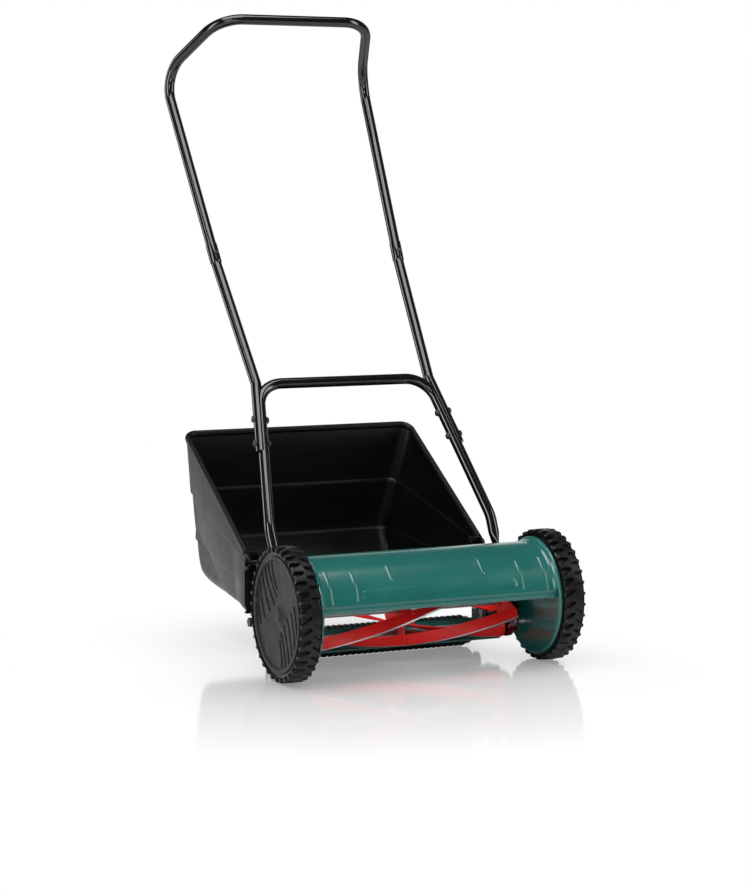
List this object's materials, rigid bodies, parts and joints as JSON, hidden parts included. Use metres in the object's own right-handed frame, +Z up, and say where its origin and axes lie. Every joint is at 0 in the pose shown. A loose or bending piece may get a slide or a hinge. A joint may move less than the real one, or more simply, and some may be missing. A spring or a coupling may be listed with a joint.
{
  "type": "reel mower",
  "caption": "Push reel mower with geared drive wheels, helical cutting reel, rear roller, tubular folding handle and lift-off rear grass box.",
  "frame": {"origin": "on the ground at the middle of the footprint: midway between the two wheels, and midway between the front of the wheels and the rearmost point of the handle", "axes": "+X towards the right-hand wheel as the user behind it sees it turned to face the front, +Y towards the user and the grass box, +Z up; it mows towards -Y"},
  "size_m": [0.493, 0.7298, 1.0657],
  "materials": {
    "green_paint": "semi-gloss enamel",
    "red_paint": "gloss enamel",
    "black_paint": "gloss powder coat",
    "black_fastener": "black oxide",
    "moulded_black": "grained moulding",
    "box_plastic": "satin moulding",
    "tread_rubber": "matte rubber",
    "zinc_steel": "zinc plated",
    "ground_steel": "ground",
    "bearing_bronze": "sintered"
  },
  "bodies": {
    "root": {"side_plate_left": "green_paint", "side_plate_right": "green_paint", "top_cover": "green_paint", "cover_screws": "zinc_steel", "tie_rod": "black_paint", "tie_rod_nuts": "zinc_steel", "knife_carrier": "green_paint", "bed_knife": "ground_steel", "knife_screws": "zinc_steel", "carrier_bolts": "zinc_steel", "knife_adjusters": "zinc_steel", "rear_bracket_left": "black_paint", "rear_bracket_right": "black_paint", "bracket_rivets": "zinc_steel", "wheel_axle_left": "zinc_steel", "wheel_axle_right": "zinc_steel", "axle_clips": "zinc_steel", "reel_bearing_left": "bearing_bronze", "reel_bearing_right": "bearing_bronze", "handle_pivots": "black_fastener", "box_pins": "zinc_steel"},
    "wheel_left": {"wheel_left": "moulded_black", "tyre_left": "tread_rubber", "wheel_cover_left": "moulded_black", "hub_cap_left": "moulded_black", "wheel_bush_left": "bearing_bronze"},
    "wheel_right": {"wheel_right": "moulded_black", "tyre_right": "tread_rubber", "wheel_cover_right": "moulded_black", "hub_cap_right": "moulded_black", "wheel_bush_right": "bearing_bronze"},
    "reel": {"reel_shaft": "zinc_steel", "spider_left": "red_paint", "spider_middle": "red_paint", "spider_right": "red_paint", "blade_1": "red_paint", "blade_2": "red_paint", "blade_3": "red_paint", "blade_4": "red_paint", "blade_5": "red_paint", "pinion_left": "zinc_steel", "pinion_right": "zinc_steel", "ratchet_key_left": "zinc_steel", "ratchet_key_right": "zinc_steel", "pinion_clips": "zinc_steel"},
    "carriage": {"roller_bracket_left": "black_paint", "roller_bracket_right": "black_paint", "roller_axle": "zinc_steel", "clamp_studs": "zinc_steel"},
    "knob_left": {"height_knob_left": "moulded_black"},
    "knob_right": {"height_knob_right": "moulded_black"},
    "roller": {"roller": "moulded_black", "roller_bushes": "bearing_bronze"},
    "handle": {"lower_handle": "black_paint", "side_tube_left": "black_paint", "side_tube_right": "black_paint", "upper_handle": "black_paint", "handle_bolts": "black_fastener", "joint_screws": "black_fastener"},
    "box": {"grass_box": "box_plastic"}
  },
  "joints": [
    {"name": "wheel_left_spin", "type": "hinge", "parent": "root", "child": "wheel_left", "pos_m": [-0.2285, -0.25794, 0.107], "axis": [1, 0, 0], "continuous": true},
    {"name": "wheel_right_spin", "type": "hinge", "parent": "root", "child": "wheel_right", "pos_m": [0.2285, -0.25794, 0.107], "axis": [1, 0, 0], "continuous": true},
    {"name": "reel_spin", "type": "hinge", "parent": "root", "child": "reel", "pos_m": [0, -0.18643, 0.08797], "axis": [1, 0, 0], "continuous": true},
    {"name": "cut_height", "type": "slide", "parent": "root", "child": "carriage", "axis": [0, 0, 1], "range_m": [-0.014, 0.014]},
    {"name": "roller_spin", "type": "hinge", "parent": "carriage", "child": "roller", "pos_m": [0, -0.09294, 0.026], "axis": [1, 0, 0], "continuous": true},
    {"name": "knob_left_turn", "type": "hinge", "parent": "carriage", "child": "knob_left", "pos_m": [-0.21, -0.09294, 0.068], "axis": [-1, 0, 0], "range_deg": [0, 360]},
    {"name": "knob_right_turn", "type": "hinge", "parent": "carriage", "child": "knob_right", "pos_m": [0.21, -0.09294, 0.068], "axis": [1, 0, 0], "range_deg": [0, 360]},
    {"name": "handle_tilt", "type": "hinge", "parent": "root", "child": "handle", "pos_m": [0, -0.15394, 0.16], "axis": [1, 0, 0], "range_deg": [0, 70]},
    {"name": "box_lift", "type": "slide", "parent": "root", "child": "box", "axis": [0, 0.866, 0.5], "range_m": [0, 0.12]}
  ],
  "couplings": [
    {"joint": "wheel_right_spin", "follows": "wheel_left_spin", "ratio": 1},
    {"joint": "reel_spin", "follows": "wheel_left_spin", "ratio": 6.6923}
  ]
}
